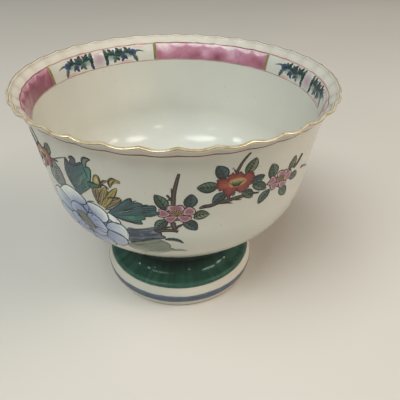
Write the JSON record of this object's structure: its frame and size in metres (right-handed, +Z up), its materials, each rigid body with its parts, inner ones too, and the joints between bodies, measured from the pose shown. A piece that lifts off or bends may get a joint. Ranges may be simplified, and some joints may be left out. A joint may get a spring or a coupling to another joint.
{
  "type": "footed porcelain bowl",
  "caption": "Deep round porcelain bowl with a lobed gilt lip, an enamelled border inside the mouth and a hollow flared pedestal foot.",
  "frame": {"origin": "centre of the flat face under the foot ring", "axes": "+Z up along the bowl's axis of rotation, -Y towards the front of the painted spray"},
  "size_m": [0.152, 0.152, 0.1168],
  "materials": {
    "porcelain": "clear glossy glaze over white porcelain",
    "slip": "fired slip under glaze",
    "gilding": "bright burnished gold",
    "red_enamel": "thin glossy enamel",
    "iron_red_enamel": "thin glossy enamel",
    "divider_gilding": "dull olive gold",
    "pink_enamel": "brushed rose enamel",
    "green_glaze": "deep glossy bottle green",
    "blue_enamel": "underglaze blue"
  },
  "bodies": {
    "root": {"bowl_body": "porcelain", "pedestal_foot": "porcelain", "luting_slip": "slip", "rim_gilding": "gilding", "outer_rim_line": "red_enamel", "border_top_line": "iron_red_enamel", "border_foot_line": "red_enamel", "panel_divider_1": "divider_gilding", "panel_divider_2": "divider_gilding", "panel_divider_3": "divider_gilding", "panel_divider_4": "divider_gilding", "panel_divider_5": "divider_gilding", "panel_divider_6": "divider_gilding", "pink_panel_1": "pink_enamel", "pink_panel_2": "pink_enamel", "pink_panel_3": "pink_enamel", "green_foot_glaze": "green_glaze", "blue_foot_band": "blue_enamel"}
  },
  "joints": []
}
